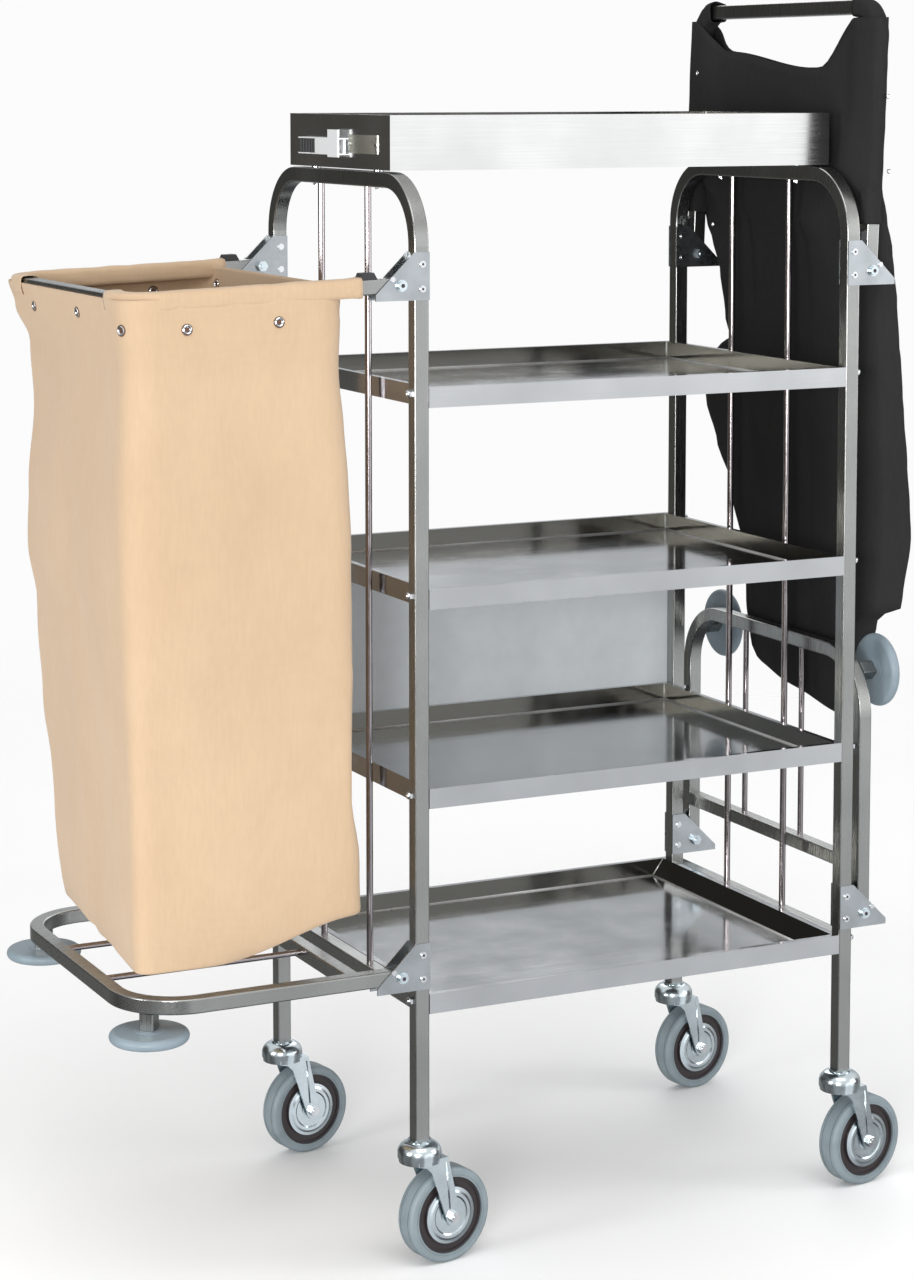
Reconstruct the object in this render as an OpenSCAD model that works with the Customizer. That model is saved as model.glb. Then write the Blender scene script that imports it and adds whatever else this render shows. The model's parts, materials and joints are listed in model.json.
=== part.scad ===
// Linen trolley: a square-tube frame with four shelves and a top tray on four swivel castors.
// Each end has a folding bag frame above a folding platform with round wall bumpers.
// X runs along the trolley, Y to its back and Z up. Sizes are in millimetres.

/* [Main frame] */
// Length over the corner posts
frame_w = 660; // [520:5:860]
// Depth over the corner posts
frame_d = 475; // [380:5:620]
// Height of the side arches above the floor
frame_h = 1405; // [1340:5:1600]
// Side of the square posts and rails
tube = 20; // [18:0.5:25]
// Wall of the square tubes
tube_wall = 1.5; // [1:0.25:2]
// Outer corner radius of the square tubes
tube_r = 2; // [1:0.25:3]
// Outer bend radius of the side arches
arch_r = 90; // [60:5:110]
// Diameter of the upright rods in each side frame
rod_d = 9; // [6:0.5:12]
// Distance of the rods from the middle of the trolley
rod_y = 75; // [50:5:110]

/* [Shelves] */
// Rim height of the top shelf
shelf_z = 1138; // [1060:2:1180]
// Rim to rim height of the two upper bays
bay_h = 256; // [200:2:280]
// Rim to rim height of the bottom bay
low_bay_h = 267; // [200:1:280]
// Depth of the shelf lips
lip_h = 26; // [18:1:35]
// Width of the folded rim
hem = 8; // [6:0.5:12]
// Thickness of the shelf sheet
sheet = 1.5; // [1:0.25:2]
// Inward slope of the end lips of the bottom shelf
flare = 18; // [0:1:30]
// Thickness of the back panel
panel_t = 1.5; // [1:0.25:3]

/* [Top tray] */
// Distance by which each end of the tray stays inside the posts' outer faces
tray_inset = 2; // [0:0.5:6]
// Depth of the tray
tray_d = 322; // [260:2:420]
// Height of the tray walls
tray_h = 70; // [40:1:100]
// Width of the folded tray rim
tray_hem = 5; // [4:0.5:8]
// Distance of the tray studs from the middle
tray_stud_y = 100; // [60:5:120]
// Height of the clip above the tray bottom
clip_rise = 28; // [20:1:45]
// Height of the clip on the tray end
clip_h = 22; // [16:1:30]
// Distance the clip stands out from the tray end
clip_out = 9; // [7:0.5:14]

/* [Folding frames] */
// Height of the upper pivots
upper_z = 1267; // [1230:1:1290]
// Height of the lower pivots
lower_z = 386; // [350:1:420]
// Gap between the posts and an arm folded up beside them
pivot_gap = 9.4; // [8:0.2:14]
// Distance from the pivots to the end of the frames
reach = 362; // [280:2:440]
// Outer bend radius of the bag frames
bag_frame_r = 50; // [30:2:70]
// Outer bend radius of the platforms
platform_r = 90; // [60:2:110]
// Side clearance of the arms between their plates
arm_gap = 0.4; // [0.3:0.05:0.8]
// Length of the arms behind their pivot
arm_tail = 9; // [7:0.5:10]
// Angle of the open bag frames below level
droop = 2; // [0:0.5:4]
// Travel of the folding frames
fold = 90; // [80:1:92]
// Distance of the platform cross tube from the pivot
cross_at = 63; // [45:1:90]
// Diameter of the platform rods
platform_rod_d = 8; // [6:0.5:10]

/* [Brackets] */
// Thickness of the bracket plates
plate_t = 2; // [1.5:0.25:3]
// Reach of the plates beyond the post
plate_out = 54; // [46:1:70]
// Height of the plates above the pivot
plate_up = 41; // [30:1:50]
// Height of the plates below the pivot
plate_down = 19; // [16:1:24]
// Height of the upright edge at the plate tips
plate_tip = 8; // [5:1:12]
// Diameter of the pivot bolts
pivot_d = 8; // [6:0.5:10]
// Diameter of the rivet shanks
rivet_d = 4.8; // [4:0.2:6]
// Diameter of the shelf bolts
bolt_d = 6; // [5:0.5:6.5]

/* [Bumpers] */
// Diameter of the bumper discs
bumper_d = 100; // [80:2:120]
// Thickness of the bumper discs
bumper_t = 16; // [12:0.5:20]
// Length of the square legs that carry the bumpers
bumper_drop = 21; // [15:1:30]
// Diameter of the bumper bolts
bumper_bolt_d = 10; // [8:0.5:12]

/* [Castors] */
// Diameter of the wheels
wheel_d = 125; // [100:1:130]
// Width of the tyres
tyre_w = 32; // [26:1:36]
// Thickness of the tyres
tyre_t = 12.5; // [9:0.5:15]
// Distance of the axle behind the swivel axis
trail = 38; // [30:1:45]
// Direction in which the castors trail
castor_turn = 10; // [-180:1:180]
// Height of the castors under the posts
castor_h = 168; // [160:1:190]
// Diameter of the castor heads
head_d = 57; // [50:1:62]
// Diameter of the axle bolts
axle_d = 8; // [6:0.5:10]
// Width and depth of the lines moulded round the tyres
tread_line = 1.2; // [0.8:0.1:1.6]

/* [Bags] */
// Height of the open bag
bag_h = 816; // [600:4:830]
// Wall of the bags
bag_wall = 3; // [2:0.5:4]

/* [Hidden] */
$fn = 48;
eps = 0.01;
running = 0.05;
fixed_gap = 0.1;
end_x = frame_w/2;
end_y = frame_d/2;
post_x = end_x - tube/2;
post_y = end_y - tube/2;
shelf_end = end_x - tube;
shelf_rims = [
    shelf_z,
    shelf_z - bay_h,
    shelf_z - 2*bay_h,
    shelf_z - 2*bay_h - low_bay_h
];
rail_top = shelf_rims[3];
shelf_bolt_drop = 8;
arm = tube - 2*arm_gap;
arm_y = post_y;
arm_side = arm_y + arm/2;
pivot_out = pivot_gap + arm/2;
pivot_x = end_x + pivot_out;
rivet_ups = [plate_up - 15, plate_up - 46];
stop_out = 31;
stop_up = 8;
panel_z = [shelf_rims[2] - lip_h + 6, shelf_rims[1] - 10];
panel_rivet_zs = [panel_z[0] + 30, panel_z[1] - 30];
tray_gap = 2;
tray_z = frame_h + tray_gap;
tray_w = frame_w - 2*tray_inset;
tray_stud_x = post_x - 4;
clip_z = tray_z + clip_rise;
clip_t = 1.5;
clip_ends = [-20, 113];
clip_cover = 57;
clip_cross = 32;
clip_rivet_ys = [-8, 45];
clip_pin_y = (clip_ends[1] + clip_cover)/2;
clip_pin_d = 3;
band_ends = [-124, -35];
band_foot = 7;
band_bow = 4;
band_t = 1.2;
band_up = 4;
small_rivet = 3.2;
buffer_x = 43;
buffer_h = 8.5;
buffer_base = 25;
buffer_top = 16;
buffer_w = 16;
bumper_bend = platform_r - arm/2;
bumper_x = reach - platform_r + bumper_bend*sin(45);
bumper_y = arm_side - platform_r + bumper_bend*cos(45);
bumper_top = -arm/2 - bumper_drop;
bumper_gap = 0.3;
thread_depth = 12;
axle_z = wheel_d/2;
tyre_in = wheel_d/2 - tyre_t;
leg_t = 3;
leg_in = tyre_w/2 + 3;
crown_top = castor_h - 24;
crown_t = 5;
king_d = 12;
cap_r = tyre_in - 13;
cap_y = tyre_w/2 - 1.5;
bag_top = upper_z - arm/2 - reach*sin(droop) - 1;
bag_front = arm_y - 4;
bag_far = reach - 8;
bag_near = 78;
hung_x = pivot_x + arm/2 + 2;
hung_out = 92;
hung_ear_z = upper_z + reach - 40;
hung_top = upper_z + reach - 80;
hung_neck_z = upper_z + plate_up + 8;
hung_low_z = lower_z + reach + 34;
hung_foot_z = hung_low_z - 142;
hung_side = arm_side - tube - plate_t - 12;
hung_low_side = bumper_y - bumper_d/2 - 8;
mouth_low_z = upper_z + 75;

// The part's origin is on the floor under the middle of its overall box
reach_left = pivot_x + bumper_x + bumper_d/2;
castor_reach = (trail + wheel_d/2)*cos(castor_turn) + tyre_w/2*sin(abs(castor_turn));
reach_right = max(post_x + castor_reach, hung_x + hung_out);
shift_x = (reach_left - reach_right)/2;
shift_y = -trail*sin(castor_turn)/2 - 0.4;

// ---------- shared shapes ----------

module rounded_square(side, r) {
    square([side, side - 2*r], center = true);
    square([side - 2*r, side], center = true);
    for (x = [-1, 1], y = [-1, 1])
        translate([x*(side/2 - r), y*(side/2 - r)]) circle(r);
}

// A straight bar along +Z
module bar(side, r, length) {
    linear_extrude(length) rounded_square(side, r);
}

// A quarter bend whose middle line starts at the origin along +X and turns towards +Y
module bend(side, r, middle) {
    translate([0, middle, 0]) rotate([0, 0, -90])
        rotate_extrude(angle = 90) translate([middle, 0]) rounded_square(side, r);
}

// A U of bar about its middle line: two arms along +X from -tail, joined by an end bar at x = end_at
module u_bar(side, r, end_at, half, bend_r, tail) {
    for (s = [-1, 1]) mirror([0, s < 0 ? 1 : 0, 0]) {
        translate([-tail, half, 0]) rotate([0, 90, 0]) bar(side, r, tail + end_at - bend_r);
        translate([end_at - bend_r, half, 0]) mirror([0, 1, 0]) bend(side, r, bend_r);
    }
    translate([end_at, bend_r - half, 0]) rotate([-90, 0, 0]) bar(side, r, 2*(half - bend_r));
}

// The same U as a hollow tube with open tails
module u_tube(side, end_at, half, bend_r, tail) {
    difference() {
        u_bar(side, tube_r, end_at, half, bend_r, tail);
        u_bar(side - 2*tube_wall, tube_r/2, end_at, half, bend_r, tail + 1);
    }
}

module y_rod(d, y0, y1) {
    translate([0, y0, 0]) rotate([-90, 0, 0]) cylinder(d = d, h = y1 - y0);
}

module x_rod(d, x0, x1) {
    translate([x0, 0, 0]) rotate([0, 90, 0]) cylinder(d = d, h = x1 - x0);
}

// A hexagon prism on +Z
module hex(flats, h) {
    cylinder(d = flats/cos(30), h = h, $fn = 6);
}

// Puts a folding frame's own coordinates at its pivot: +X outboard, raised by an angle
module at_pivot(side, z, raised) {
    translate([side*pivot_x, 0, z]) mirror([side < 0 ? 1 : 0, 0, 0])
        rotate([0, -raised, 0]) children();
}

module upper(side) {
    at_pivot(side, upper_z, side < 0 ? -droop : fold - droop) children();
}

module lower(side) {
    at_pivot(side, lower_z, side < 0 ? 0 : fold) children();
}

module at_castor(sx, sy) {
    translate([sx*post_x, sy*post_y, 0]) rotate([0, 0, castor_turn]) children();
}

module at_wheel(sx, sy) {
    at_castor(sx, sy) translate([trail, 0, axle_z]) rotate([-90, 0, 0]) children();
}

// ---------- main frame ----------

module arch_bar(side, r, foot) {
    translate([0, 0, foot]) rotate([0, -90, 0])
        u_bar(side, r, frame_h - tube/2 - foot, post_y, arch_r - tube/2, 0);
}

module side_frame(s) {
    color("silver") translate([s*post_x, 0, 0]) difference() {
        arch_bar(tube, tube_r, castor_h);
        arch_bar(tube - 2*tube_wall, tube_r/2, castor_h - 1);
        for (y = [-post_y, post_y]) {
            for (z = shelf_rims) translate([0, y, z - shelf_bolt_drop])
                x_rod(bolt_d + 2*fixed_gap, -tube, tube);
            for (z = [upper_z, lower_z], up = rivet_ups) translate([0, y, z + up])
                y_rod(rivet_d + 2*fixed_gap, -tube, tube);
        }
        for (z = panel_rivet_zs) translate([0, post_y, z])
            y_rod(rivet_d + 2*fixed_gap, 0, tube);
        for (y = [-tray_stud_y, tray_stud_y]) translate([s*(tray_stud_x - post_x), y, frame_h - 2*tube])
            cylinder(d = bolt_d + 2*fixed_gap, h = 3*tube);
    }
}

module bottom_rails() {
    color("silver") for (s = [-1, 1])
        translate([s*post_x, -end_y + tube, rail_top - tube/2]) rotate([-90, 0, 0])
            difference() {
                bar(tube, tube_r, frame_d - 2*tube);
                translate([0, 0, -1]) bar(tube - 2*tube_wall, tube_r/2, frame_d);
            }
}

module side_rods() {
    color("silver") for (s = [-1, 1], y = [-rod_y, rod_y])
        translate([s*post_x, y, rail_top]) cylinder(d = rod_d, h = frame_h - tube - rail_top);
}

// A folded tray: floor, double lips all round, ends that may slope inwards by lean
module tub(w, d, h, rim, lean) {
    module prism(half_low, half_high, half_y, z0, z1) {
        rotate([90, 0, 0]) linear_extrude(2*half_y, center = true) polygon([
            [-half_low, z0], [half_low, z0], [half_high, z1], [-half_high, z1]
        ]);
    }
    in_x = w/2 - rim;
    in_y = d/2 - rim;
    difference() {
        translate([-w/2, -d/2, -h]) cube([w, d, h]);
        prism(in_x - lean, in_x, in_y, sheet - h, eps);
        difference() {
            translate([-w/2 + sheet, -d/2 + sheet, -h - 1])
                cube([w - 2*sheet, d - 2*sheet, h + 1 - sheet]);
            prism(in_x + sheet - lean, in_x + sheet, in_y + sheet, -h - 2, 1);
        }
    }
}

module shelf(n) {
    color("gainsboro") translate([0, 0, shelf_rims[n]]) difference() {
        tub(2*shelf_end, frame_d, lip_h, hem, n == 3 ? flare : 0);
        for (s = [-1, 1], y = [-post_y, post_y]) translate([s*shelf_end, y, -shelf_bolt_drop])
            x_rod(bolt_d + 2*fixed_gap, -sheet - 1, sheet + 1);
    }
}

module shelf_bolts() {
    head_t = 3.5;
    color("silver") for (s = [-1, 1], y = [-post_y, post_y], z = shelf_rims)
        translate([s*(shelf_end - sheet), y, z - shelf_bolt_drop])
            rotate([0, s*90, 0]) {
                translate([0, 0, -head_t]) cylinder(d = bolt_d + 3, h = head_t);
                translate([0, 0, -eps]) cylinder(d = bolt_d, h = tube + sheet + 4);
            }
}

module cap_nuts() {
    across = bolt_d + 4;
    nut_h = 4.5;
    color("white") for (s = [-1, 1], y = [-post_y, post_y], z = shelf_rims)
        translate([s*end_x, y, z - shelf_bolt_drop]) rotate([0, s*90, 0])
            difference() {
                union() {
                    hex(across, nut_h);
                    translate([0, 0, nut_h - 0.5]) sphere(d = across - 0.4);
                }
                translate([0, 0, -across]) cylinder(d = 2*across, h = across);
                translate([0, 0, -1]) cylinder(d = bolt_d + 2*fixed_gap, h = 5.2);
            }
}

module back_panel() {
    color("lightsteelblue") difference() {
        translate([-end_x, end_y, panel_z[0]])
            cube([frame_w, panel_t, panel_z[1] - panel_z[0]]);
        for (x = [-post_x, post_x], z = panel_rivet_zs) translate([x, end_y, z])
            y_rod(rivet_d + 2*fixed_gap, -1, panel_t + 1);
    }
}

module rivet(grip) {
    y_rod(rivet_d, -grip - tube_wall - 2, eps);
    y_rod(rivet_d + 4, 0, 1);
    y_rod(rivet_d + 1.4, 0.9, 1.7);
}

// ---------- top tray ----------

module top_tray() {
    color("whitesmoke") translate([0, 0, tray_z + tray_h]) difference() {
        tub(tray_w, tray_d, tray_h, tray_hem, 0);
        translate([-tray_w/2, 0, clip_rise - tray_h]) {
            for (y = clip_rivet_ys) translate([0, y, 0])
                x_rod(small_rivet + 2*fixed_gap, -1, sheet + 1);
            for (y = [band_ends[0] + 3.5, band_ends[1] - 3.5]) translate([0, y, band_up])
                x_rod(small_rivet + 2*fixed_gap, -1, sheet + 1);
        }
    }
}

module tray_studs() {
    color("silver") for (s = [-1, 1], y = [-tray_stud_y, tray_stud_y])
        translate([s*tray_stud_x, y, tray_z]) {
            translate([0, 0, -tray_gap]) cylinder(d = bolt_d + 7, h = tray_gap);
            translate([0, 0, -tray_gap - tube - 4]) cylinder(d = bolt_d, h = tube + 4 + eps);
            translate([0, 0, -tray_gap - tube - 3]) hex(bolt_d + 3, 3);
        }
}

module at_clip() {
    translate([-tray_w/2, 0, clip_z]) children();
}

// A pressed channel on the tray end: open where it holds the grip, covered behind it
module clip_channel() {
    side_z = clip_h/2;
    length = clip_ends[1] - clip_ends[0];
    color("white") at_clip() difference() {
        union() {
            translate([-clip_out, clip_ends[0], -side_z]) cube([clip_out, length, clip_h]);
            translate([-clip_out - clip_t, clip_ends[0], -side_z - 3])
                cube([clip_out, clip_cross, clip_h + 14]);
        }
        translate([clip_t - clip_out, clip_ends[0] - 1, clip_t - side_z])
            cube([clip_out - 2*clip_t, length + 2, clip_h - 2*clip_t]);
        translate([-clip_out - 1, clip_cover, clip_t - side_z])
            cube([clip_out + 1 - clip_t, length, clip_h - 2*clip_t]);
        translate([clip_t - clip_out, clip_ends[0] - 1, side_z])
            cube([clip_out, clip_cross + 2, 20]);
        translate([clip_t - clip_out, clip_ends[0] - 1, -side_z - 10])
            cube([clip_out, clip_cross + 2, 10]);
        for (y = clip_rivet_ys) translate([0, y, 0]) x_rod(small_rivet + 2*fixed_gap, -3, 1);
        translate([-clip_out/2 - clip_t/2, clip_pin_y, -clip_h])
            cylinder(d = clip_pin_d + 2*fixed_gap, h = 2*clip_h);
    }
}

// The ribbed rubber block in the open end of the channel
module clip_grip() {
    length = clip_ends[1] - clip_cover - 1;
    half_h = clip_h/2 - clip_t - 0.2;
    ribs = 6;
    color([0.1, 0.1, 0.16]) at_clip() translate([0, clip_cover + 0.5, 0]) difference() {
        translate([0, 0, -half_h]) linear_extrude(2*half_h) {
            translate([2.5 - clip_out, 0]) square([clip_out - 2.5 - clip_t - 0.1, length]);
            for (n = [0:ribs - 1]) translate([2.5 - clip_out, (n + 0.5)*length/ribs])
                circle(length/ribs/3.4);
        }
        translate([-clip_out/2 - clip_t/2, clip_pin_y - clip_cover - 0.5, -clip_h])
            cylinder(d = clip_pin_d + 2*fixed_gap, h = 2*clip_h);
    }
}

// A sprung steel band riveted to the tray end at both feet
module clip_band() {
    chord = band_ends[1] - band_ends[0] - 2*band_foot;
    bow_r = chord*chord/8/band_bow + band_bow/2;
    half_turn = asin(chord/2/bow_r);
    color("darkkhaki") at_clip() translate([0, 0, band_up - clip_h/2 - 1]) difference() {
        union() {
            translate([bow_r - band_bow - band_t, (band_ends[0] + band_ends[1])/2, 0])
                rotate([0, 0, 180 - half_turn]) rotate_extrude(angle = 2*half_turn)
                    translate([bow_r - band_t, 0]) square([band_t, clip_h + 2]);
            for (y = [band_ends[0], band_ends[1] - band_foot - 0.5])
                translate([-band_t, y, 0]) cube([band_t, band_foot + 0.5, clip_h + 2]);
        }
        for (y = [band_ends[0] + 3.5, band_ends[1] - 3.5]) translate([0, y, clip_h/2 + 1])
            x_rod(small_rivet + 2*fixed_gap, -3, 1);
    }
}

// The rivets of the clip and its band, and the grip's cross pin
module clip_rivets() {
    module tray_rivet(thick) {
        x_rod(small_rivet, -thick - eps, sheet + 0.3);
        x_rod(small_rivet + 2.4, -thick - 1, -thick);
    }
    color("silver") at_clip() {
        for (y = clip_rivet_ys) translate([0, y, 0]) tray_rivet(clip_t);
        for (y = [band_ends[0] + 3.5, band_ends[1] - 3.5]) translate([0, y, band_up])
            tray_rivet(band_t);
        translate([-clip_out/2 - clip_t/2, clip_pin_y, -clip_h/2])
            cylinder(d = clip_pin_d, h = clip_h);
    }
}

// ---------- brackets ----------

module plate_outline() {
    polygon([
        [-tube, plate_up], [1, plate_up], [plate_out, plate_tip - plate_down],
        [plate_out, -plate_down], [-tube, -plate_down]
    ]);
}

module bracket_plates(s) {
    color("lightgray") for (z = [upper_z, lower_z], y = [-1, 1], face = [0, 1])
        translate([s*end_x, y*(end_y - face*(tube + plate_t)), z])
            mirror([s < 0 ? 1 : 0, 0, 0]) mirror([0, y < 0 ? 1 : 0, 0])
                difference() {
                    translate([0, plate_t, 0]) rotate([90, 0, 0])
                        linear_extrude(plate_t) plate_outline();
                    translate([pivot_out, 0, 0]) y_rod(pivot_d + 2*running, -1, plate_t + 1);
                    if (face == 0) translate([stop_out, 0, stop_up])
                        y_rod(rivet_d + 2*fixed_gap, -1, plate_t + 1);
                    for (up = rivet_ups) translate([-tube/2, 0, up])
                        y_rod(rivet_d + 2*fixed_gap, -1, plate_t + 1);
                }
}

// All blind rivets: two to a bracket plate and its stop, and four in the back panel
module rivets() {
    color("white") {
        for (s = [-1, 1], z = [upper_z, lower_z], y = [-1, 1])
            translate([s*(end_x + stop_out), y*(end_y + plate_t), z + stop_up])
                mirror([0, y < 0 ? 1 : 0, 0]) {
                    y_rod(rivet_d, -plate_t, eps);
                    y_rod(rivet_d + 2, 0, 1.2);
                }
        for (s = [-1, 1], z = [upper_z, lower_z], y = [-1, 1], up = rivet_ups) {
            translate([s*post_x, y*(end_y + plate_t), z + up])
                mirror([0, y < 0 ? 1 : 0, 0]) rivet(plate_t);
            translate([s*post_x, y*(end_y - tube - plate_t), z + up])
                mirror([0, y > 0 ? 1 : 0, 0]) rivet(plate_t);
        }
        for (s = [-1, 1], z = panel_rivet_zs)
            translate([s*post_x, end_y + panel_t, z]) rivet(panel_t);
    }
}

// Pivot bolts with a button head outside and a nut inside
module pivot_bolts() {
    outer = end_y + plate_t;
    inner = end_y - tube - plate_t;
    color("silver") for (s = [-1, 1], z = [upper_z, lower_z], y = [-1, 1])
        translate([s*pivot_x, 0, z]) mirror([0, y < 0 ? 1 : 0, 0]) {
            y_rod(pivot_d, inner - 8, outer + eps);
            y_rod(pivot_d + 7, outer, outer + 1.6);
            y_rod(pivot_d + 4, outer + 1.5, outer + 5);
            translate([0, inner, 0]) rotate([90, 0, 0]) hex(pivot_d + 5, 6.5);
        }
}

// ---------- castors ----------

// Expander stem, domed bearing cover and king pin of each castor
module castor_heads() {
    r = head_d/2;
    dome_r = 14;
    base_z = crown_top + 0.4;
    dome_z = castor_h - 3 - dome_r;
    pin_z = crown_top - crown_t;
    color("silver") for (sx = [-1, 1], sy = [-1, 1]) translate([sx*post_x, sy*post_y, 0])
        rotate_extrude() {
            translate([0, base_z]) square([r - dome_r, castor_h - 3 - base_z]);
            translate([0, base_z]) square([r, dome_z - base_z]);
            intersection() {
                translate([r - dome_r, dome_z]) circle(dome_r);
                translate([0, dome_z]) square([r, dome_r]);
            }
            translate([0, castor_h - 4]) square([15, 4]);
            translate([0, castor_h - 1]) square([tube/2 - tube_wall - 0.6, 51]);
            translate([0, pin_z - 0.4]) square([king_d/2, base_z - pin_z + 1]);
            translate([0, pin_z - 4.4]) square([king_d/2 + 4, 4]);
        }
}

// Fork with a round crown and two tapered legs. The wheel trails towards +X
module fork(sx, sy) {
    end_r = 11;
    crown_bottom = crown_top - crown_t;
    color("silver") at_castor(sx, sy) difference() {
        union() {
            translate([0, 0, crown_bottom]) cylinder(d = head_d - 3, h = crown_t);
            translate([0, -leg_in - leg_t, crown_bottom]) cube([30, 2*(leg_in + leg_t), crown_t]);
            for (s = [-1, 1]) translate([0, s*(leg_in + leg_t/2) + leg_t/2, 0])
                rotate([90, 0, 0]) linear_extrude(leg_t) {
                    polygon([
                        [-17, crown_top], [30, crown_top], [33, crown_bottom - 8],
                        [trail + end_r, axle_z], [trail - end_r, axle_z],
                        [4, crown_bottom - 12], [-4, crown_bottom - 4], [-17, crown_bottom]
                    ]);
                    translate([trail, axle_z]) circle(end_r);
                }
        }
        translate([0, 0, crown_bottom - 1]) cylinder(d = king_d + 2*running, h = crown_t + 2);
        translate([trail, 0, axle_z]) y_rod(axle_d + 2*running, -40, 40);
    }
}

module axle(sx, sy) {
    out = leg_in + leg_t;
    color("silver") at_wheel(sx, sy) {
        translate([0, 0, -out - 6]) cylinder(d = axle_d, h = 2*out + 12.5);
        translate([0, 0, out]) cylinder(d = axle_d + 8, h = 1.5);
        translate([0, 0, out + 1.4]) hex(axle_d + 5, 5);
        translate([0, 0, -out - 5.3]) hex(axle_d + 5, 5.3);
    }
}

module tyre(sx, sy) {
    shoulder = 5;
    half = tyre_w/2;
    out = wheel_d/2;
    color("slategray") at_wheel(sx, sy) rotate_extrude() difference() {
        union() {
            translate([tyre_in + fixed_gap, -half]) square([tyre_t - shoulder - fixed_gap, tyre_w]);
            translate([tyre_in + fixed_gap, -half + shoulder])
                square([tyre_t - fixed_gap, tyre_w - 2*shoulder]);
            for (s = [-1, 1]) translate([out - shoulder, s*(half - shoulder)]) circle(shoulder);
        }
        for (s = [-1, 1]) {
            translate([out - tread_line, s*half/2 - tread_line/2]) square([tread_line + 1, tread_line]);
            translate([tyre_in + 2, s*half - tread_line/2]) square(tread_line);
        }
    }
}

module wheel_core(sx, sy) {
    face = cap_y - 3;
    color([0.13, 0.1, 0.11]) at_wheel(sx, sy) rotate_extrude() {
        translate([axle_d/2 + running, -leg_in + 1]) square([5, 2*(leg_in - 1)]);
        translate([axle_d/2 + running, -face - 2.9]) square([cap_r - axle_d/2 + 1, 2*(face + 2.9)]);
        translate([cap_r, -face]) square([tyre_in - cap_r, 2*face]);
        translate([tyre_in - 3, -face - 1.5]) square([3, 2*(face + 1.5)]);
    }
}

// The pressed thread guards on both sides of a wheel
module wheel_caps(sx, sy) {
    hole_r = axle_d/2 + running + 5.2;
    color("gainsboro") at_wheel(sx, sy) for (s = [0, 1]) mirror([0, 0, s])
        translate([0, 0, cap_y]) rotate_extrude() polygon([
            [hole_r, 0], [cap_r, 0], [cap_r, 1], [cap_r - 4, 1.3], [cap_r - 7, 2.3],
            [cap_r - 11, 2.3], [cap_r - 13, 1.2], [hole_r + 4, 1.2], [hole_r, 1.8]
        ]);
}

// ---------- folding frames ----------

module bag_frame(s) {
    color("silver") upper(s) difference() {
        u_tube(arm, reach - arm/2, arm_y, bag_frame_r - arm/2, arm_tail);
        y_rod(pivot_d + 2*running, -frame_d, frame_d);
    }
}

// Rubber stops on the arms, which meet the posts when the frame is folded up
module buffers(s) {
    color([0.12, 0.12, 0.14]) upper(s) for (y = [-arm_y, arm_y])
        translate([buffer_x, y + buffer_w/2, arm/2]) rotate([90, 0, 0])
            linear_extrude(buffer_w) polygon([
                [-buffer_base/2, 0], [buffer_base/2, 0], [buffer_top/2, buffer_h], [-buffer_top/2, buffer_h]
            ]);
}

module platform(s) {
    bore = arm - 2*tube_wall;
    color("silver") lower(s) difference() {
        union() {
            u_bar(arm, tube_r, reach - arm/2, arm_y, platform_r - arm/2, arm_tail);
            translate([cross_at, -arm_y, 0]) rotate([-90, 0, 0]) bar(arm, tube_r, 2*arm_y);
        }
        u_bar(bore, tube_r/2, reach - arm/2, arm_y, platform_r - arm/2, arm_tail + 1);
        translate([cross_at, -arm_y, 0]) rotate([-90, 0, 0]) bar(bore, tube_r/2, 2*arm_y);
        y_rod(pivot_d + 2*running, -frame_d, frame_d);
    }
}

module platform_rods(s) {
    start = cross_at + arm/2;
    color("silver") lower(s) for (y = [-rod_y, rod_y])
        translate([0, y, 0]) x_rod(platform_rod_d, start, reach - arm);
}

module at_bumpers(s) {
    lower(s) for (y = [-1, 1]) translate([bumper_x, y*bumper_y, 0]) children();
}

// Square legs under the corner bends, turned to follow them
module bumper_legs(s) {
    color("silver") lower(s) for (y = [-1, 1]) translate([bumper_x, y*bumper_y, bumper_top])
        rotate([0, 0, -45*y]) difference() {
            bar(arm, tube_r, bumper_drop);
            translate([0, 0, -1]) cylinder(d = bumper_bolt_d + 2*fixed_gap, h = thread_depth + 1);
        }
}

module bumper_bolts(s) {
    under = bumper_top - bumper_t - 2*bumper_gap;
    color([0.12, 0.12, 0.13]) at_bumpers(s) {
        translate([0, 0, under - 2]) cylinder(d = bumper_bolt_d, h = bumper_top - under + thread_depth + 1);
        translate([0, 0, under - 1.5]) cylinder(d = bumper_bolt_d + 12, h = 1.5);
        translate([0, 0, under - 8]) hex(bumper_bolt_d + 9, 6.6);
    }
}

module bumper(s, y) {
    rim = bumper_t/2 - 1;
    hub_r = 20;
    out = bumper_d/2;
    color("slategray") lower(s) translate([bumper_x, y*bumper_y, bumper_top - bumper_gap - bumper_t])
        rotate_extrude() difference() {
            union() {
                square([hub_r, bumper_t]);
                translate([0, 1]) square([out - rim, 2*rim]);
                translate([out - rim, 1 + rim]) circle(rim);
            }
            translate([-1, -1]) square([1 + bumper_bolt_d/2 + running, bumper_t + 2]);
            translate([-out, -1]) square([out, bumper_t + 2]);
        }
}

// ---------- bags ----------

// The open bag under the left frame. Its mouth is the whole top
module bag_left() {
    foot_z = bag_top - bag_h;
    module slab(z, xs, ys, inset) {
        translate([0, 0, z]) linear_extrude(eps) polygon([
            [xs[0] + inset, ys[0] + inset], [xs[1] - inset, ys[0] + inset],
            [xs[1] - inset, ys[1] - inset], [xs[2] + inset, ys[1] - inset]
        ]);
    }
    module shape(inset, top) {
        hull() {
            slab(top, [-bag_far, -bag_near, -bag_far], [-bag_front, bag_front], inset);
            slab(foot_z + inset, [-bag_far + 14, -bag_near + 34, -bag_far + 46],
                [-bag_front + 22, bag_front - 32], inset);
        }
    }
    color("burlywood") translate([-pivot_x, 0, 0]) difference() {
        shape(0, bag_top - eps);
        shape(bag_wall, bag_top + 1);
    }
}

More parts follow.
